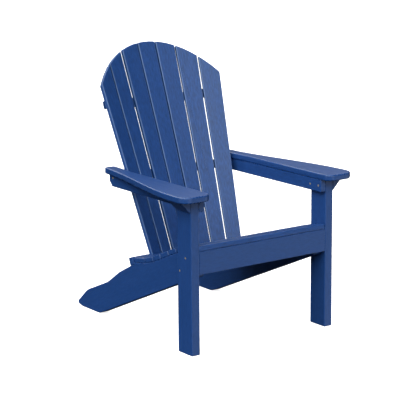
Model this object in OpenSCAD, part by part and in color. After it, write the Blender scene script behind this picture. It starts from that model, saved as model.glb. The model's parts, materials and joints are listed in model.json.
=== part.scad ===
// Fixed Adirondack garden chair made of solid plastic boards and wood screws.
// The chair faces -Y, its left-right mirror plane is X = 0 and it stands on Z = 0.
// Seat and side rail profiles are drawn in the YZ plane, with y = 0 at the front
// of the legs. The back is drawn in its own leaning frame: x across, y toward the
// rear of the chair and z up along the slats.

/* [Legs and apron] */
// Distance between the outer faces of the two front legs
leg_span = 686; // [660:1:710]
// Thickness of a front leg across the chair
leg_t = 38; // [36:0.5:40]
// Depth of a front leg from front to rear
leg_d = 90; // [86:1:95]
// Height of the lower edge of the front apron
apron_z = 312; // [304:1:320]
// Thickness of the front apron
apron_t = 25.4; // [22:0.2:28]

/* [Seat] */
// Thickness of the seat slats
seat_slat_t = 20; // [18:0.5:22]
// Gap between neighbouring seat slats
seat_gap = 6; // [5:0.5:9]
// Clearance between a seat slat's end and the leg beside it
seat_clear = 0.5; // [0.5:0.5:3]

/* [Side rails] */
// Thickness of a side rail
rail_t = 38; // [34:0.5:40]
// Rearmost point of the side rail's foot, behind the front of the legs
heel_y = 878.5; // [870:0.5:890]

/* [Back] */
// Lean of the back from upright, in degrees
back_tilt = 21; // [20.5:0.1:21.5]
// Where the middle slat's front face would meet the floor, behind the leg fronts
back_foot_y = 373; // [371:0.5:375]
// Thickness of the back slats
back_slat_t = 16; // [15:0.5:17]
// Gap between neighbouring back slats
back_gap = 5; // [4:0.5:8]
// Extra width of the gap between the second and the third slat from the left
back_gap_extra = 7; // [0:0.5:9]
// Angle that the middle slat takes up, about the axis of the fan
fan_step = 6.62; // [6.5:0.02:6.7]
// Length up the back to the top of the arch
arch_top = 1171; // [1150:1:1190]
// Thickness of the three cross rails behind the slats
cross_t = 32; // [28:0.5:33]
// Depth of the cross rails behind the middle slat
cross_d = 44; // [38:1:50]

/* [Arms] */
// Height of the underside of the arms
arm_z = 601.6; // [598:0.2:606]
// Thickness of the arms
arm_t = 25.4; // [22:0.2:30]
// Overhang of the arms in front of the legs
arm_front = 52; // [45:1:60]
// Distance from the mirror plane to the widest point of an arm's outer edge
arm_outer = 412; // [400:1:425]
// Thickness of the board that carries each arm
support_t = 25.4; // [22:0.2:28]
// Height of the board that carries each arm
support_h = 49; // [44:1:54]
// Width and height of the triangular bracket between leg and arm
bracket_w = 50; // [42:1:55]

/* [Screws] */
// Diameter of a screw head
head_d = 8.6; // [7:0.2:10]
// Diameter of a screw shank
shank_d = 4.6; // [3.6:0.2:5.2]

/* [Hidden] */

$fn = 48;

lumber = [0.20, 0.31, 0.53];
brass = [0.72, 0.63, 0.46];

left = -1;
right = 1;
leg_in = leg_span / 2 - leg_t;
mid_y = (heel_y - arm_front) / 2;

// Upper edge of the side rails, where the undersides of the seat slats lie:
// [distance behind the leg fronts, height], one point for each slat joint.
seat_line = [[0, 402.5], [50, 394.5], [101, 382.5], [152, 366.5], [205, 345.5],
    [259, 321.5], [312, 300], [370, 282], [450, 269.3]];
seat_n = len(seat_line) - 1;
seat_len = 2 * (leg_in - seat_clear);

// Height of the first seat slat's underside at a distance y behind the leg fronts.
function seat_under(y) = mix(seat_line[0][1], seat_line[1][1], y / seat_line[1][0]);

// Straight lower edge of a side rail, which meets the floor at foot_y.
foot_y = 713;
foot_slope = 0.434;

// Side rail behind the ledge of the lower cross rail, down to its flat foot:
// [distance behind the leg fronts, height, rounding radius].
ledge_end_y = 474;
rail_tail = [[560, 206, 160], [646, 148, 130], [heel_y - 73, 81, 120],
    [heel_y + 13.4, 7.7, 10], [heel_y - 40, 0, 60], [foot_y, 0, 60]];

// Lengths up the back to the underside of each cross rail, and half its length.
lower_s = 270;
middle_s = 612.5;
upper_s = 912;
lower_half = leg_in;
middle_half = leg_in - support_t;
upper_half = 258;

// The slats are flat boards on a cone whose tip is cone_low below the floor end of
// the back's axis. Its axis leans forward by cone_lean from the middle slat.
cone_low = 1996;
cone_lean = 13.67;
slat_n = 7;
slat_low = lower_s;
slat_high = 1200;
wide_gap_slat = 2;

// Angles from the middle of the fan to the lines between its slats, and to its
// outer edge, as multiples of fan_step.
fan_shares = [0.5, 1.53, 2.61, 3.67];

// The arch over the slats is the upper half of an ellipse with these half-axes.
arch_a = 400;
arch_b = 545;
arch_depth = 300;

// A cross rail's rear edge is an arc of this radius, and its ends stand this far in
// front of the middle slat.
cross_rear_r = 860;
cross_front = 22;

// Clearances between a cross rail and the slats' sides, between the apron and the
// seat slat above it, and between the last seat slat and the back slats behind it.
slat_seat_clear = 0.6;
apron_clear = 0.3;
back_clear = 2;

support_z = arm_z - support_h;
support_len = 616;
support_cut = [19, 22];

// Corners of an arm, behind the leg fronts and from the mirror plane, the radii that
// round them, and how much of the outer edge's S-curve is a straight slope.
arm_rear_x = 318;
arm_wide_y = 40;
arm_rear_y = 634;
arm_inner_lap = 1.5;
arm_inner_taper = [10, 160];
arm_front_in_r = 38;
arm_bend_r = 300;
arm_rear_in_r = 12;
arm_rear_out_r = 14;
arm_front_out_r = 48;
arm_edge_slope = 0.3;
arm_wave_n = 14;

// Screws: the head's cylindrical rim and the length of the point, then where the
// screws of each set stand, y and z measured from the leg fronts and the floor.
head_rim = 0.8;
screw_point = 3;
leg_screw_yz = [[37, 376], [75, 320]];
support_screw_y = [14, 64];
support_screw_drop = 24;
rail_screw_yz = [588.5, 588];
bracket_screw_y = [27, 77];
bracket_screw_drop = 14;
arm_screw_y = [170, 350, 520];
back_screw_grip = 30;
back_screw_in = 14;

// Slanted screws whose heads lie in pockets: up from the apron's rear face and from
// a side rail's inner face into the first seat slat, and from a side rail's inner
// face forward into the apron. A head lies pocket_in behind the face it enters.
apron_screw_x = [-180, 0, 180];
apron_pocket_in = 8.4;
rail_pocket_in = 10;
rail_pocket_y = 35;
pocket_z = 372;
pocket_tilt = 15;
corner_pocket_in = 8;
corner_pocket_d = 25;
corner_pocket_z = 318;
corner_tilt = 20;
pocket_len = 60;
pocket_screw_len = 40;

// How far the screws of each set reach into the second board that they join.
leg_screw_bite = 27;
support_screw_bite = 26.6;
rail_screw_bite = 34.6;
bracket_screw_bite = 22;
arm_screw_bite = 18;
seat_screw_bite = 27;
cross_screw_bite = 26;
back_screw_bite = 12;

function mix(a, b, t) = a + (b - a) * t;
function unit(v) = v / norm(v);
function turn(a, b) = atan2(a[0] * b[1] - a[1] * b[0], a * b);

// Points of an arc of radius p[2] that rounds the corner p between its neighbours
// q and r; a radius of 0 keeps the sharp corner.
function round_corner(q, p, r, step = 12) =
    p[2] == 0 ? [[p[0], p[1]]] :
    let (c = [p[0], p[1]],
        u = unit([q[0], q[1]] - c),
        v = unit([r[0], r[1]] - c),
        half = acos(u * v) / 2,
        cut = p[2] / tan(half),
        centre = c + unit(u + v) * p[2] / sin(half),
        from = c + u * cut - centre,
        sweep = turn(from, c + v * cut - centre),
        n = max(2, ceil(abs(sweep) / step)))
    [for (i = [0:n]) let (a = sweep * i / n)
        centre + [from[0] * cos(a) - from[1] * sin(a), from[0] * sin(a) + from[1] * cos(a)]];

// Outline through corners given as [x, y, radius].
function outline(pts) = [for (i = [0:len(pts) - 1])
    each round_corner(pts[(i + len(pts) - 1) % len(pts)], pts[i], pts[(i + 1) % len(pts)])];

// Height of the side rail's lower edge, and of the plane that carries the lower
// cross rail, at a distance y behind the leg fronts.
function rail_low(y) = foot_slope * (foot_y - y);
function ledge_z(y) = (lower_s - (y - back_foot_y) * sin(back_tilt)) / cos(back_tilt);
// Distance behind the leg fronts of a point on the ledge, d in front of the middle
// slat's front face.
function ledge_y(d) = back_foot_y + lower_s * sin(back_tilt) - d * cos(back_tilt);

// Angle from the middle of the fan to the line between slats k and k + 1, then to
// the middle of slat k, and half the angle that slat k takes up.
function fan_line(k) = let (d = slat_n / 2 - k) sign(d) * fan_step * fan_shares[abs(d) - 0.5];
function fan_angle(k) = (fan_line(k - 1) + fan_line(k)) / 2;
function fan_half(k) = (fan_line(k - 1) - fan_line(k)) / 2;
// Radius of the cone, and half the width of slat k, at a length s up the back.
function fan_radius(s) = (s + cone_low) * sin(cone_lean);
function slat_half(k, s) = fan_radius(s) * sin(fan_half(k)) - back_gap / 2;

module chair() {
    translate([0, -mid_y, 0]) children();
}

// Draws a YZ outline as a board of thickness t whose outer face is at x = side * x_out.
module side_board(side, x_out, t) {
    x0 = side < 0 ? -x_out : x_out - t;
    translate([x0, 0, 0]) rotate([90, 0, 90]) linear_extrude(t) children();
}

module mirror_to(side) {
    mirror([side < 0 ? 1 : 0, 0, 0]) children();
}

module back_frame() {
    translate([0, back_foot_y, 0]) rotate([-back_tilt, 0, 0]) children();
}

// Places a child drawn for the middle slat at slat k of the fan.
module fan(k) {
    translate([0, 0, -cone_low]) rotate([cone_lean, 0, 0]) rotate([0, 0, fan_angle(k)])
        rotate([-cone_lean, 0, 0]) translate([0, 0, cone_low]) children();
}

// Screw along +Z from its head at the origin: a countersunk head, flush with the
// face it sits in, and a plain shank with a conical point.
module screw(length) {
    cone_z = head_rim + (head_d - shank_d) / 2;
    rotate_extrude() polygon([[0, 0], [head_d / 2, 0], [head_d / 2, head_rim],
        [shank_d / 2, cone_z], [shank_d / 2, length - screw_point], [0, length]]);
}

// ---- Screws ----------------------------------------------------------------
// Each set is drawn once as screws, and cut again from the boards that it holds.

// Through a leg into the side rail behind it.
module leg_screw_set(side) {
    for (p = leg_screw_yz)
        translate([side * leg_span / 2, p[0], p[1]]) rotate([0, -side * 90, 0])
            screw(leg_t + leg_screw_bite);
}

// Places a child with its head end, at the origin, in one of the pockets: behind the
// apron, pointing up into the first seat slat...
module apron_pocket(x) {
    translate([x, apron_t - apron_pocket_in, pocket_z]) rotate([pocket_tilt, 0, 0]) children();
}

// ...inside a side rail, pointing up into the first seat slat...
module rail_pocket(side) {
    translate([side * (leg_in - rail_t + rail_pocket_in), rail_pocket_y, pocket_z])
        rotate([0, side * pocket_tilt, 0]) children();
}

// ...and inside a side rail, pointing forward into the apron.
module corner_pocket(side) {
    translate([side * (leg_in - rail_t + corner_pocket_in), apron_t + corner_pocket_d,
        corner_pocket_z]) rotate([90, 0, side * corner_tilt]) children();
}

module pocket_bore() {
    mirror([0, 0, 1]) cylinder(h = pocket_len, d = head_d);
}

module apron_screw_set() {
    for (x = apron_screw_x) apron_pocket(x) screw(pocket_screw_len);
    for (side = [left, right]) corner_pocket(side) screw(pocket_screw_len);
}

// From inside through an arm's carrying board into the leg, and from outside
// through the board's rear end into the middle cross rail.
module support_screw_set(side) {
    for (y = support_screw_y)
        translate([side * middle_half, y, arm_z - support_screw_drop])
            rotate([0, side * 90, 0]) screw(support_t + support_screw_bite);
    translate([side * leg_in, rail_screw_yz[0], rail_screw_yz[1]]) rotate([0, -side * 90, 0])
        screw(support_t + rail_screw_bite);
}

// From inside through a leg into its bracket, behind the arm's carrying board.
module bracket_screw_set(side) {
    for (y = bracket_screw_y)
        translate([side * leg_in, y, arm_z - bracket_screw_drop]) rotate([0, side * 90, 0])
            screw(leg_t + bracket_screw_bite);
}

// Up through the carrying board into the arm.
module arm_screw_set(side) {
    for (y = arm_screw_y)
        translate([side * (leg_in - support_t / 2), y, support_z])
            screw(support_h + arm_screw_bite);
}

// Up from a side rail's pocket into the first seat slat, and down through each
// further slat, and through the lower cross rail, into the side rail.
module seat_screw_set(side) {
    rail_pocket(side) screw(pocket_screw_len);
    for (i = [1:seat_n - 1])
        seat_place(i) translate([side * (leg_in - rail_t / 2), seat_board_w(i) / 2, seat_slat_t])
            mirror([0, 0, 1]) screw(seat_slat_t + seat_screw_bite);
    back_frame() translate([side * (leg_in - rail_t / 2), -cross_front / 2, lower_s + cross_t])
        mirror([0, 0, 1]) screw(cross_t + cross_screw_bite);
}

// Places a child with its head end, at the origin, sunk into the rear of a cross
// rail behind slat k, and its +Z toward the slat. The outermost slats' screws stand
// back_screw_in toward the mirror plane, clear of the rails' ends.
module back_screw_place(k, s) {
    x = k == 1 ? back_screw_in : k == slat_n ? -back_screw_in : 0;
    back_frame() fan(k) translate([x, back_slat_t + back_screw_grip, s + cross_t / 2])
        rotate([90, 0, 0]) children();
}

module back_screw_set() {
    for (k = [1:slat_n])
        for (s = [lower_s, middle_s, upper_s])
            back_screw_place(k, s) screw(back_screw_grip + back_screw_bite);
}

// Holes in the rear of a cross rail through which its screws' heads go in.
module back_screw_access(s) {
    for (k = [1:slat_n])
        back_screw_place(k, s) mirror([0, 0, 1]) cylinder(h = cross_d, d = head_d);
}

// ---- Boards ----------------------------------------------------------------

module leg(side) {
    color(lumber) chair() difference() {
        translate([side < 0 ? -leg_span / 2 : leg_in, 0, 0]) cube([leg_t, leg_d, arm_z]);
        leg_screw_set(side);
        support_screw_set(side);
        bracket_screw_set(side);
    }
}

module front_apron() {
    color(lumber) chair() difference() {
        side_board(right, leg_in, 2 * leg_in)
            polygon([[0, apron_z], [apron_t, apron_z],
                [apron_t, seat_under(apron_t) - apron_clear], [0, seat_under(0) - apron_clear]]);
        apron_screw_set();
        for (x = apron_screw_x) apron_pocket(x) pocket_bore();
    }
}

function seat_angle(i) = let (v = seat_line[i + 1] - seat_line[i]) atan2(v[1], v[0]);
function seat_board_w(i) = norm(seat_line[i + 1] - seat_line[i]) - seat_gap;

// Places a board drawn from the front lower edge of seat slat i.
module seat_place(i) {
    translate([0, seat_line[i][0], seat_line[i][1]]) rotate([seat_angle(i), 0, 0]) children();
}

module seat_slat(i) {
    color(lumber) chair() difference() {
        seat_place(i) translate([-seat_len / 2, 0, 0])
            cube([seat_len, seat_board_w(i), seat_slat_t]);
        seat_screw_set(left);
        seat_screw_set(right);
        apron_screw_set();
        if (i == seat_n - 1) back_relief();
    }
}

// Space for the outermost back slats, cut from the rear edge of the last seat slat.
module back_relief() {
    for (k = [1, slat_n]) {
        reach = slat_half(k, slat_low + cross_t) + back_clear;
        back_frame() fan(k) translate([-reach, -back_clear, slat_low - cross_t])
            cube([2 * reach, cross_d, 3 * cross_t]);
    }
}

// Profile of a side rail: contoured seat edge, ledge for the lower cross rail,
// sweeping tail and rounded heel.
module side_rail_profile() {
    ledge_front = ledge_y(cross_front) - 1;
    seat_end = seat_line[seat_n];
    seat_last = seat_line[seat_n - 1];
    ledge_top = mix(seat_end[1], seat_last[1],
        (seat_end[0] - ledge_front) / (seat_end[0] - seat_last[0]));
    front_z = seat_under(apron_t);
    polygon(outline(concat(
        [[apron_t, rail_low(apron_t), 0], [apron_t, front_z, 0]],
        [for (i = [1:seat_n - 1]) [seat_line[i][0], seat_line[i][1], 0]],
        [[ledge_front, ledge_top, 0], [ledge_front, ledge_z(ledge_front), 0]],
        [[ledge_end_y, ledge_z(ledge_end_y), 12]],
        rail_tail)));
}

module side_rail(side) {
    color(lumber) chair() difference() {
        side_board(side, leg_in, rail_t) side_rail_profile();
        leg_screw_set(side);
        seat_screw_set(side);
        apron_screw_set();
        rail_pocket(side) pocket_bore();
        corner_pocket(side) pocket_bore();
    }
}

// Space that slat k takes out of the cross rail at s. The outermost slats' spaces
// run on past the rail's ends, so its front edge continues in line with them.
module slat_seat(k, s) {
    reach = (fan_radius(s + cross_t / 2) + back_slat_t) * tan(fan_half(k)) + slat_seat_clear;
    low = k == 1 ? -cross_rear_r : -reach;
    high = k == slat_n ? cross_rear_r : reach;
    fan(k) translate([low, back_slat_t - cross_rear_r, s - cross_t])
        cube([high - low, cross_rear_r, 3 * cross_t]);
}

// Cross rail behind the slats: straight ends, a rear edge bowed backward and a
// front edge cut flat behind every slat.
module cross_rail(s, half) {
    color(lumber) chair() difference() {
        back_frame() difference() {
            translate([0, 0, s]) linear_extrude(cross_t) intersection() {
                translate([-half, -cross_front]) square([2 * half, 2 * cross_front + cross_d]);
                translate([0, back_slat_t + cross_d - cross_rear_r])
                    circle(cross_rear_r, $fn = 360);
            }
            for (k = [1:slat_n]) slat_seat(k, s);
        }
        back_screw_set();
        back_screw_access(s);
        support_screw_set(left);
        support_screw_set(right);
        seat_screw_set(left);
        seat_screw_set(right);
    }
}

// The middle rail's ends are levelled off where the arms rest on them.
module middle_cross_rail() {
    color(lumber) difference() {
        cross_rail(middle_s, middle_half);
        chair() translate([-leg_span, 0, arm_z]) cube([2 * leg_span, arm_rear_y, cross_t]);
    }
}

// Front view of the whole back, from the slats' lower ends to the arch.
function arch_outline(n = 72) = concat(
    [[arch_a, slat_low], [-arch_a, slat_low]],
    [for (i = [0:n]) let (a = 180 - 180 * i / n)
        [arch_a * cos(a), arch_top - arch_b + arch_b * sin(a)]]);

// Tapered board from below the lower cross rail to above the arch, cut to length by
// the outline of the whole back.
module back_slat(k) {
    low = slat_low - cross_t;
    w_low = slat_half(k, low);
    w_high = slat_half(k, slat_high);
    cut = k == wide_gap_slat ? back_gap_extra : 0;
    color(lumber) chair() difference() {
        back_frame() intersection() {
            fan(k) translate([0, back_slat_t, 0]) rotate([90, 0, 0]) linear_extrude(back_slat_t)
                polygon([[-w_low, low], [w_low - cut, low],
                    [w_high - cut, slat_high], [-w_high, slat_high]]);
            translate([0, arch_depth / 2, 0]) rotate([90, 0, 0]) linear_extrude(arch_depth)
                polygon(arch_outline());
        }
        back_screw_set();
    }
}

module arm_support(side) {
    color(lumber) chair() difference() {
        side_board(side, leg_in, support_t)
            polygon([[0, support_z], [0, arm_z], [support_len, arm_z],
                [support_len, support_z + support_cut[1]],
                [support_len - support_cut[0], support_z]]);
        support_screw_set(side);
        arm_screw_set(side);
    }
}

module arm_bracket(side) {
    color(lumber) chair() difference() {
        mirror_to(side) translate([leg_span / 2, leg_d, 0]) rotate([90, 0, 0])
            linear_extrude(leg_d)
                polygon([[0, arm_z - bracket_w], [bracket_w, arm_z], [0, arm_z]]);
        bracket_screw_set(side);
    }
}

// Outer edge of an arm: x at a distance y behind the leg fronts, an S-curve from
// the narrow rear end to the wide front.
function arm_edge(y) =
    let (t = (arm_rear_y - y) / (arm_rear_y - arm_wide_y))
    mix(arm_rear_x, arm_outer, mix((3 - 2 * t) * t * t, t, arm_edge_slope));

module arm_profile() {
    inner = middle_half - arm_inner_lap;
    wave = [for (i = [1:arm_wave_n])
        let (y = mix(arm_rear_y, arm_wide_y, i / (arm_wave_n + 1))) [arm_edge(y), y, 0]];
    polygon(outline(concat(
        [[inner, -arm_front, arm_front_in_r],
         [inner, arm_rear_y - arm_inner_taper[1], arm_bend_r],
         [inner - arm_inner_taper[0], arm_rear_y, arm_rear_in_r],
         [arm_rear_x, arm_rear_y, arm_rear_out_r]],
        wave,
        [[arm_outer, arm_wide_y, 0], [arm_outer + 1, -arm_front, arm_front_out_r]])));
}

module arm(side) {
    color(lumber) chair() difference() {
        mirror_to(side) translate([0, 0, arm_z]) linear_extrude(arm_t) arm_profile();
        arm_screw_set(side);
    }
}

module screws(name) {
    color(brass) chair() {
        if (name == "back") back_screw_set();
        if (name == "apron") apron_screw_set();
        for (side = [left, right]) {
            if (name == "leg") leg_screw_set(side);
            if (name == "seat") seat_screw_set(side);
            if (name == "support") support_screw_set(side);
            if (name == "bracket") bracket_screw_set(side);
            if (name == "arm") arm_screw_set(side);
        }
    }
}

leg(left);  // leg_left
leg(right);  // leg_right
front_apron();
side_rail(left);  // side_rail_left
side_rail(right);  // side_rail_right
seat_slat(0);  // seat_slat_1
seat_slat(1);  // seat_slat_2
seat_slat(2);  // seat_slat_3
seat_slat(3);  // seat_slat_4
seat_slat(4);  // seat_slat_5
seat_slat(5);  // seat_slat_6
seat_slat(6);  // seat_slat_7
seat_slat(7);  // seat_slat_8
cross_rail(lower_s, lower_half);  // lower_cross_rail
middle_cross_rail();
cross_rail(upper_s, upper_half);  // upper_cross_rail
back_slat(1);  // back_slat_1
back_slat(2);  // back_slat_2
back_slat(3);  // back_slat_3
back_slat(4);  // back_slat_4
back_slat(5);  // back_slat_5
back_slat(6);  // back_slat_6
back_slat(7);  // back_slat_7
arm_support(left);  // arm_support_left
arm_support(right);  // arm_support_right
arm_bracket(left);  // arm_bracket_left
arm_bracket(right);  // arm_bracket_right
arm(left);  // arm_left
arm(right);  // arm_right
screws("leg");  // leg_screws
screws("apron");  // apron_screws
screws("seat");  // seat_screws
screws("back");  // back_screws
screws("support");  // support_screws
screws("bracket");  // bracket_screws
screws("arm");  // arm_screws
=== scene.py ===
"""Looks of a fixed Adirondack chair of solid blue plastic boards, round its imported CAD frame.

Every board keeps the shape and the screw holes that the CAD gives it, and gets rounded
edges, a grain that follows its own length and a moulded plastic finish. Every screw gets
a countersunk head with a square recess. Lengths are in metres, angles in degrees.
"""

import json
import math
import random

import bmesh
import bpy
import numpy as np
from mathutils import Matrix, Quaternion, Vector


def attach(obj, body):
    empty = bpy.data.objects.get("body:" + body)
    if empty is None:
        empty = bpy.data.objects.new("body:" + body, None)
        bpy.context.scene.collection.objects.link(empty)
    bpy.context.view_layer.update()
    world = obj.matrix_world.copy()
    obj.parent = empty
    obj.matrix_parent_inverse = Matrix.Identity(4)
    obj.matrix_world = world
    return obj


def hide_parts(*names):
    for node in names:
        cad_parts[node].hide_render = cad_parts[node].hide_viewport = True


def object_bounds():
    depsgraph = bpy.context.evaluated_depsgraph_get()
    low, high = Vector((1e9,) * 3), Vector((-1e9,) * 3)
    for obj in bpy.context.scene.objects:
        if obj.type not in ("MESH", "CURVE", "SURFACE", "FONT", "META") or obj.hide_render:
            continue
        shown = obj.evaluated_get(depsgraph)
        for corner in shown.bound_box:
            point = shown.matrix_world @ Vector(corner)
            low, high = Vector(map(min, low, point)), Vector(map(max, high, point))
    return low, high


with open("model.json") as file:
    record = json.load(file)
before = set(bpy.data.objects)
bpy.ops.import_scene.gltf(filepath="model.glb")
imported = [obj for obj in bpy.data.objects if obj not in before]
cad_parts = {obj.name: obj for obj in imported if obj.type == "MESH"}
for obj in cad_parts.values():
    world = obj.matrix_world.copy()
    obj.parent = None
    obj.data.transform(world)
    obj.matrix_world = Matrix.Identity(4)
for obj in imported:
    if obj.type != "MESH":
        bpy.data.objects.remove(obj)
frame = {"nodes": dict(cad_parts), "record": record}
cad_low, cad_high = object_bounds()
node_slots = {part["node"]: part["material_slot"] for part in frame["record"]["subparts"]}
MM = 0.001

# ---- Camera and light ---------------------------------------------------------

CAMERA_AZIMUTH = -35.87
CAMERA_ELEVATION = 12.56
CAMERA_ROLL = -0.41
CAMERA_DISTANCE = 6.617
CAMERA_LENS = 142.7
CAMERA_CLIP_END = 200
CAMERA_AIM_OFFSET = Vector((0.0116, -0.0324, -0.0872))

STAGE_RADIUS = 40
STAGE_SIDES = 64
FLOOR_ALBEDO = 0.93
FLOOR_GLOW = 0.8
WORLD_GLOW = 0.02

# Large soft lights all round: azimuth and elevation, then strength. Those below the
# horizon stand for light that the floor throws back.
SOFTBOX_ANGLE = 38
SOFTBOXES = {
    "left_front": (-45, 38, 2.06),
    "left": (-90, 38, 1.48),
    "left_low": (-90, 8, 0.25),
    "front": (0, 38, 0.75),
    "front_low": (0, 8, 0.38),
    "right_low": (45, 6, 0.08),
    "top": (180, 65, 0.82),
    "behind": (180, 38, 1.0),
    "right_behind": (130, 38, 0.42),
    "floor_right": (60, -25, 0.5),
    "floor_front": (0, -25, 0.3),
}


def direction(azimuth, elevation):
    """Unit vector toward a place seen at this azimuth and elevation; azimuth 0 is -Y, 90 is +X."""
    a, e = math.radians(azimuth), math.radians(elevation)
    return Vector((math.sin(a) * math.cos(e), -math.cos(a) * math.cos(e), math.sin(e)))


def make_camera():
    back = direction(CAMERA_AZIMUTH, CAMERA_ELEVATION)
    data = bpy.data.cameras.new("camera")
    data.lens = CAMERA_LENS
    data.clip_end = CAMERA_CLIP_END
    camera = bpy.data.objects.new("camera", data)
    aim = (cad_low + cad_high) / 2 + CAMERA_AIM_OFFSET
    camera.location = aim + back * CAMERA_DISTANCE
    camera.rotation_mode = "QUATERNION"
    turn = Quaternion((0, 0, 1), math.radians(CAMERA_ROLL))
    camera.rotation_quaternion = (-back).to_track_quat("-Z", "Y") @ turn
    bpy.context.scene.collection.objects.link(camera)
    bpy.context.scene.camera = camera


def make_softbox(name, azimuth, elevation, strength):
    data = bpy.data.lights.new(name, "SUN")
    data.energy = strength
    data.angle = math.radians(SOFTBOX_ANGLE)
    sun = bpy.data.objects.new(name, data)
    sun.rotation_mode = "QUATERNION"
    sun.rotation_quaternion = direction(azimuth, elevation).to_track_quat("Z", "Y")
    bpy.context.scene.collection.objects.link(sun)


def make_world(strength):
    """A trace of even light, so that no hollow is quite black."""
    world = bpy.data.worlds.new("studio")
    bpy.context.scene.world = world
    world.use_nodes = True
    light = world.node_tree.nodes["Background"]
    light.inputs["Color"].default_value = (1, 1, 1, 1)
    light.inputs["Strength"].default_value = strength


def paper(name, albedo, glow):
    """Matt paper of a grey albedo that also glows white, so that shadows on it stay faint."""
    material = bpy.data.materials.new(name)
    material.use_nodes = True
    shader = material.node_tree.nodes["Principled BSDF"]
    shader.inputs["Base Color"].default_value = (albedo, albedo, albedo, 1)
    shader.inputs["Roughness"].default_value = 1.0
    shader.inputs["Specular IOR Level"].default_value = 0.0
    shader.inputs["Emission Color"].default_value = (1, 1, 1, 1)
    shader.inputs["Emission Strength"].default_value = glow
    return material


def stage_object(name, bm, material):
    """Part of the stage, seen by the camera, which throws no light back onto the chair."""
    mesh = bpy.data.meshes.new(name)
    bm.to_mesh(mesh)
    bm.free()
    mesh.materials.append(material)
    stage = bpy.data.objects.new(name, mesh)
    bpy.context.scene.collection.objects.link(stage)
    stage.visible_diffuse = False
    stage.visible_glossy = False
    stage.visible_transmission = False
    return stage


def make_floor():
    """Plain pale floor out to the backdrop."""
    bm = bmesh.new()
    bmesh.ops.create_circle(bm, cap_ends=True, radius=STAGE_RADIUS, segments=STAGE_SIDES)
    stage_object("floor", bm, paper("floor", albedo=FLOOR_ALBEDO, glow=FLOOR_GLOW))


def make_backdrop():
    """Plain white dome far behind the chair on every side, which lets the lights through."""
    bm = bmesh.new()
    bmesh.ops.create_uvsphere(
        bm, u_segments=STAGE_SIDES, v_segments=STAGE_SIDES // 2, radius=STAGE_RADIUS
    )
    dome = stage_object("backdrop", bm, paper("backdrop", albedo=0.0, glow=1.0))
    dome.visible_shadow = False


# ---- Materials ------------------------------------------------------------------

LUMBER_BLUE = (0.0116, 0.0556, 0.216)
# Painted highlight: the pale blue that routed edges are mixed toward, in place of the light they
# catch.
PAINTED_EDGE_HIGHLIGHT = (0.075, 0.145, 0.34)
LUMBER_SHEEN = (0.93, 1.0, 0.78)
LUMBER_IOR = 1.5

# Noises in a board, and in a screw: stretch along each axis, then scale and detail.
STREAK = ((1, 1, 0.035), 130.0, 4.0)
FLECK = ((1, 1, 0.22), 210.0, 2.0)
FINE = ((1, 1, 0.02), 900.0, 3.0)
CLOUD = ((1, 1, 0.4), 14.0, 2.0)
PATCH = ((1, 1, 1), 900.0, 4.0)

# The spans within which nearly all of the shade and of the streaks lie.
SHADE_SPAN = (0.25, 0.75)
STREAK_SPAN = (0.3, 0.7)

# Roughness from the finish's own: in the smoothest and roughest streaks and on routed edges.
SMOOTH_STREAK = -0.05
ROUGH_STREAK = 0.07
ROUTED_SHINE = 0.14
ROUTED_SMOOTHING = 0.7

METAL_DARK = (0.50, 0.42, 0.27)
METAL_LIGHT = (0.66, 0.58, 0.42)
METAL_ROUGHNESS = (0.28, 0.5)
METAL_METALLIC = 0.6


class Nodes:
    """Short names for the nodes of one material."""

    def __init__(self, name):
        self.material = bpy.data.materials.new(name)
        self.material.use_nodes = True
        self.tree = self.material.node_tree
        self.shader = self.tree.nodes["Principled BSDF"]

    def add(self, kind, **values):
        node = self.tree.nodes.new("ShaderNode" + kind)
        for key, value in values.items():
            setattr(node, key, value)
        return node

    def link(self, source, target):
        self.tree.links.new(source, target)

    def attribute(self, name):
        return self.add("Attribute", attribute_name=name)

    def noise(self, vector, stretch, scale, detail):
        """Noise over a vector that is first scaled by stretch along each axis."""
        place = self.add("Mapping")
        place.inputs["Scale"].default_value = stretch
        self.link(vector, place.inputs["Vector"])
        noise = self.add("TexNoise")
        noise.inputs["Scale"].default_value = scale
        noise.inputs["Detail"].default_value = detail
        self.link(place.outputs[0], noise.inputs["Vector"])
        return noise.outputs["Fac"]

    def put(self, value, socket):
        """Sets a socket to a number or a colour, or links another socket to it."""
        if isinstance(value, bpy.types.NodeSocket):
            self.link(value, socket)
        elif isinstance(value, tuple):
            socket.default_value = (*value, 1)
        else:
            socket.default_value = value

    def math(self, operation, a, b):
        node = self.add("Math", operation=operation)
        self.put(a, node.inputs[0])
        self.put(b, node.inputs[1])
        return node.outputs[0]

    def total(self, shares):
        """Sum of values, each times its share."""
        value = 0.0
        for part, share in shares:
            value = self.math("ADD", value, self.math("MULTIPLY", part, share))
        return value

    def mixed(self, amount, a, b):
        """Colour that goes from a to b as the amount goes from 0 to 1."""
        node = self.add("Mix", data_type="RGBA")
        factor, first, second, result = 0, 6, 7, 2
        self.put(amount, node.inputs[factor])
        self.put(a, node.inputs[first])
        self.put(b, node.inputs[second])
        return node.outputs[result]

    def ranged(self, value, low, high, from_low=0.0, from_high=1.0):
        node = self.add("MapRange")
        node.inputs["From Min"].default_value = from_low
        node.inputs["From Max"].default_value = from_high
        node.inputs["To Min"].default_value = low
        node.inputs["To Max"].default_value = high
        self.link(value, node.inputs["Value"])
        return node.outputs["Result"]


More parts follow.
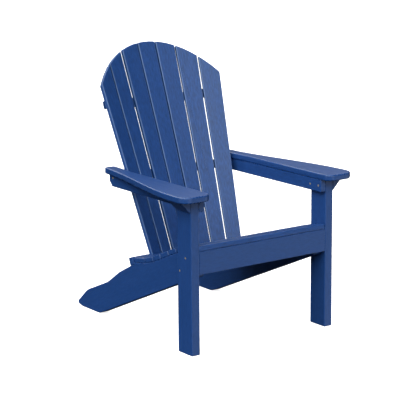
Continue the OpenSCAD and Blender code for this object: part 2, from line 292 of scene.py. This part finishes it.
def lumber(name, roughness, grain_depth, contrast, edge_highlight):
    """Extruded plastic board: a grain along its length, flecked lighter and darker, and
    smoother, glossier routed edges with a highlight painted on them. Contrast is how far the
    flecks go from the plain blue, and the last argument how far the routed edges are paled
    toward the painted highlight colour. The board attribute is the place in the board's own
    frame: across it, through it and along it."""
    n = Nodes(name)
    board = n.attribute("board").outputs["Vector"]
    routed = n.attribute("routed").outputs["Fac"]
    tint = n.attribute("tint").outputs["Fac"]
    streak = n.noise(board, *STREAK)
    fleck = n.noise(board, *FLECK)
    fine = n.noise(board, *FINE)
    cloud = n.noise(board, *CLOUD)

    dark = tuple(c * (1 - contrast) for c in LUMBER_BLUE)
    light = tuple(c * (1 + contrast) for c in LUMBER_BLUE)
    shade = n.total([(fleck, 0.70), (streak, 0.18), (cloud, 0.08), (tint, 0.04)])
    plain = n.mixed(n.ranged(shade, 0.0, 1.0, *SHADE_SPAN), dark, light)
    # Painted highlight: routed edges mixed toward the painted highlight colour, as far as the last
    # argument asks.
    colour = n.mixed(n.math("MULTIPLY", routed, edge_highlight), plain, PAINTED_EDGE_HIGHLIGHT)
    n.link(colour, n.shader.inputs["Base Color"])

    low, high = roughness + SMOOTH_STREAK, roughness + ROUGH_STREAK
    rough = n.ranged(streak, low, high, *STREAK_SPAN)
    rough = n.math("SUBTRACT", rough, n.math("MULTIPLY", routed, ROUTED_SHINE))
    n.link(rough, n.shader.inputs["Roughness"])

    height = n.total([(fine, 0.4), (fleck, 0.6)])
    grained = n.math("SUBTRACT", 1.0, n.math("MULTIPLY", routed, ROUTED_SMOOTHING))
    bump = n.add("Bump")
    bump.inputs["Strength"].default_value = 1.0
    bump.inputs["Distance"].default_value = grain_depth
    n.link(n.math("MULTIPLY", height, grained), bump.inputs["Height"])
    n.link(bump.outputs[0], n.shader.inputs["Normal"])
    n.shader.inputs["IOR"].default_value = LUMBER_IOR
    n.shader.inputs["Specular Tint"].default_value = (*LUMBER_SHEEN, 1)
    return n.material


def screw_metal(name):
    """Tan coated steel, a little duller in patches."""
    n = Nodes(name)
    place = n.attribute("board").outputs["Vector"]
    patch = n.noise(place, *PATCH)
    n.link(n.mixed(patch, METAL_DARK, METAL_LIGHT), n.shader.inputs["Base Color"])
    n.link(n.ranged(patch, *METAL_ROUGHNESS), n.shader.inputs["Roughness"])
    n.shader.inputs["Metallic"].default_value = METAL_METALLIC
    return n.material


# ---- Screws ---------------------------------------------------------------------


def merged(node):
    """The mesh of a CAD node with its split vertices joined."""
    bm = bmesh.new()
    bm.from_mesh(frame["nodes"][node].data)
    bmesh.ops.remove_doubles(bm, verts=bm.verts, dist=0.001 * MM)
    bm.verts.index_update()
    return bm


def islands(bm):
    """The places of the vertices of each separate solid."""
    seen = set()
    found = []
    for start in bm.verts:
        if start.index in seen:
            continue
        seen.add(start.index)
        stack = [start]
        points = []
        while stack:
            vert = stack.pop()
            points.append(vert.co[:])
            for edge in vert.link_edges:
                other = edge.other_vert(vert)
                if other.index not in seen:
                    seen.add(other.index)
                    stack.append(other)
        found.append(np.array(points))
    return found


class Screw:
    """A screw's head, the direction in which it points, its length and its head's radius."""

    def __init__(self, points):
        middle = points.mean(0)
        axis = np.linalg.svd(points - middle)[2][0]
        along = (points - middle) @ axis
        off = np.linalg.norm(points - middle - np.outer(along, axis), axis=1)
        near = 0.05 * MM
        if off[along < along.min() + near].max() < off[along > along.max() - near].max():
            along = -along
        ends = [points[along < along.min() + near], points[along > along.max() - near]]
        head, tip = (Vector(end.mean(0)) for end in ends)
        self.head = head
        self.length = (tip - head).length
        self.axis = (tip - head).normalized()
        self.radius = float(off.max())

    def holds(self, point):
        """Whether a point lies in the screw's hole, or in the way in behind its head."""
        way_in, margin = 60 * MM, 0.3 * MM
        along = (point - self.head).dot(self.axis)
        off = (point - self.head - along * self.axis).length
        return -way_in < along < self.length + margin and off < self.radius + margin


SCREW_SIDES = 32

screw_nodes = sorted(name for name in frame["nodes"] if name.endswith("_screws"))
screws = {name: [Screw(p) for p in islands(merged(name))] for name in screw_nodes}
every_screw = [screw for group in screws.values() for screw in group]


def make_screws(node, material):
    """The screws of one CAD node with a square recess in each head."""
    bm = bmesh.new()
    place = bm.verts.layers.float_vector.new("board")
    for screw in screws[node]:
        add_screw(bm, screw)
    for vert in bm.verts:
        vert[place] = vert.co
    piece = make_piece(node + "_detailed", bm, material)
    stand_for(piece, node)


def add_screw(bm, screw):
    """One screw of revolution along its axis, with a sunk square drive, a flat head with a
    rounded rim, a cone under it, a plain shank and a point."""
    recess = 0.36 * screw.radius
    rim = 0.985 * screw.radius
    shank = 0.53 * screw.radius
    recess_depth, cone_depth, point_length = 1.9 * MM, 2.8 * MM, 3 * MM
    turn = screw.axis.to_track_quat("Z", "Y").to_matrix().to_4x4()
    to_world = Matrix.Translation(screw.head) @ turn

    def ring(radius, z, square=0.0):
        """A closed ring; square 1 is a square whose half-width is the radius."""
        made = []
        for i in range(SCREW_SIDES):
            a = 2 * math.pi * i / SCREW_SIDES
            reach = 1 / max(abs(math.cos(a)), abs(math.sin(a)))
            r = radius * (1 + square * (reach - 1))
            made.append(bm.verts.new(to_world @ Vector((r * math.cos(a), r * math.sin(a), z))))
        return made

    rings = [
        ring(0.85 * recess, recess_depth, 1.0),
        ring(recess, 0.15 * MM, 1.0),
        ring(1.12 * recess, 0.05 * MM, 0.9),
        ring(0.72 * screw.radius, 0.02 * MM),
        ring(0.93 * screw.radius, 0.0),
        ring(rim, 0.12 * MM),
        ring(rim, 0.8 * MM),
        ring(shank, cone_depth),
        ring(shank, screw.length - point_length),
    ]
    for inner, outer in zip(rings, rings[1:]):
        for i in range(SCREW_SIDES):
            j = (i + 1) % SCREW_SIDES
            bm.faces.new((inner[i], inner[j], outer[j], outer[i]))
    bm.faces.new(list(reversed(rings[0])))
    tip = bm.verts.new(to_world @ Vector((0, 0, screw.length)))
    for i in range(SCREW_SIDES):
        bm.faces.new((rings[-1][i], rings[-1][(i + 1) % SCREW_SIDES], tip))


# ---- Boards ---------------------------------------------------------------------

X, Y, Z = Vector((1, 0, 0)), Vector((0, 1, 0)), Vector((0, 0, 1))

# For each kind of board, the radius of its rounded edges and the direction of its grain,
# or None where the grain follows the longest direction of the board itself.
BOARDS = {
    "leg": (3.2 * MM, Z),
    "front_apron": (1.5 * MM, X),
    "side_rail": (3.0 * MM, None),
    "seat_slat": (3.8 * MM, X),
    "lower_cross_rail": (3.0 * MM, X),
    "middle_cross_rail": (3.0 * MM, X),
    "upper_cross_rail": (3.0 * MM, X),
    "back_slat": (3.3 * MM, None),
    "arm_support": (3.0 * MM, Y),
    "arm_bracket": (2.0 * MM, Z),
    "arm": (6.0 * MM, Y),
}
SHARP = math.radians(32)
FLAT = math.radians(0.2)
ROUND_STEPS = 4
FLAT_FACE_WEIGHT = 100


def board_kind(node):
    """The longest entry of BOARDS that starts the node's name."""
    return max((kind for kind in BOARDS if node.startswith(kind)), key=len)


def board_frame(bm, grain):
    """Unit vectors across, through and along a board, from its shape."""
    outer = np.array([v.co[:] for v in bm.verts if not in_hole(v.co)])
    if grain is None:
        grain = Vector(np.linalg.svd(outer - outer.mean(0))[2][0])
        grain *= 1 if grain.z > 0 else -1
    widest = max(bm.faces, key=lambda face: face.calc_area() * (1 - abs(face.normal.dot(grain))))
    through = (widest.normal - grain * widest.normal.dot(grain)).normalized()
    return grain.cross(through), through, grain


def in_hole(point):
    return any(screw.holds(point) for screw in every_screw)


def round_edges(bm, radius):
    """Rounds every sharp edge that isn't part of a screw hole; returns the rounded faces."""
    bmesh.ops.dissolve_limit(
        bm, angle_limit=FLAT, verts=bm.verts, edges=bm.edges, delimit={"NORMAL"}
    )
    bm.normal_update()
    chosen = [
        edge
        for edge in bm.edges
        if edge.is_manifold
        and edge.calc_face_angle() > SHARP
        and not all(in_hole(vert.co) for vert in edge.verts)
    ]
    made = bmesh.ops.bevel(
        bm,
        geom=chosen,
        offset=radius,
        offset_type="OFFSET",
        segments=ROUND_STEPS,
        profile=0.5,
        affect="EDGES",
        clamp_overlap=False,
    )
    return made["faces"]


def make_board(node, material, chance):
    """A board of the CAD's shape with rounded edges and its own grain."""
    radius, grain = BOARDS[board_kind(node)]
    bm = merged(node)
    marks = bm.faces.layers.float.new("routed")
    place = bm.verts.layers.float_vector.new("board")
    tint = bm.verts.layers.float.new("tint")
    axes = board_frame(bm, grain)
    for face in round_edges(bm, radius):
        face[marks] = 1.0
    start = Vector([chance.uniform(-2, 2) for _ in range(3)])
    value = chance.random()
    for vert in bm.verts:
        vert[place] = start + Vector([vert.co.dot(axis) for axis in axes])
        vert[tint] = value
    piece = make_piece(node + "_board", bm, material)
    stand_for(piece, node)


def make_piece(name, bm, material):
    """An object from a bmesh, smooth but for its sharp edges, with flats kept flat."""
    bmesh.ops.recalc_face_normals(bm, faces=bm.faces)
    mesh = bpy.data.meshes.new(name)
    for face in bm.faces:
        face.smooth = True
    for edge in bm.edges:
        edge.smooth = not (edge.is_manifold and edge.calc_face_angle() > SHARP)
    bm.to_mesh(mesh)
    bm.free()
    mesh.materials.append(material)
    piece = bpy.data.objects.new(name, mesh)
    bpy.context.scene.collection.objects.link(piece)
    flats = piece.modifiers.new("flat_faces", "WEIGHTED_NORMAL")
    flats.keep_sharp = True
    flats.weight = FLAT_FACE_WEIGHT
    return piece


def stand_for(piece, node):
    """The piece rides on the chair, in the place of a CAD node, which is hidden."""
    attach(piece, "root")
    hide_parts(node)


# ---- The whole chair ------------------------------------------------------------

BOARD_SEED = 7

# Each finish: how rough it is, how deep its grain, how strong its flecks, how strong the highlight
# painted on its routed edges.
materials = {
    "frame_lumber": lumber("frame_lumber", 0.44, 0.09 * MM, 0.18, 0.0),
    "seat_lumber": lumber("seat_lumber", 0.42, 0.14 * MM, 0.30, 0.1),
    "back_lumber": lumber("back_lumber", 0.42, 0.16 * MM, 0.38, 0.9),
    "arm_lumber": lumber("arm_lumber", 0.40, 0.10 * MM, 0.26, 0.0),
}
metal = screw_metal("screw_metal")
chance = random.Random(BOARD_SEED)
for node in sorted(frame["nodes"]):
    if node in screws:
        make_screws(node, metal)
    else:
        make_board(node, materials[node_slots[node]], chance)

make_floor()
make_backdrop()
make_world(WORLD_GLOW)
for name, (azimuth, elevation, strength) in SOFTBOXES.items():
    make_softbox(name, azimuth, elevation, strength)
make_camera()
bpy.context.scene.view_settings.view_transform = "Standard"
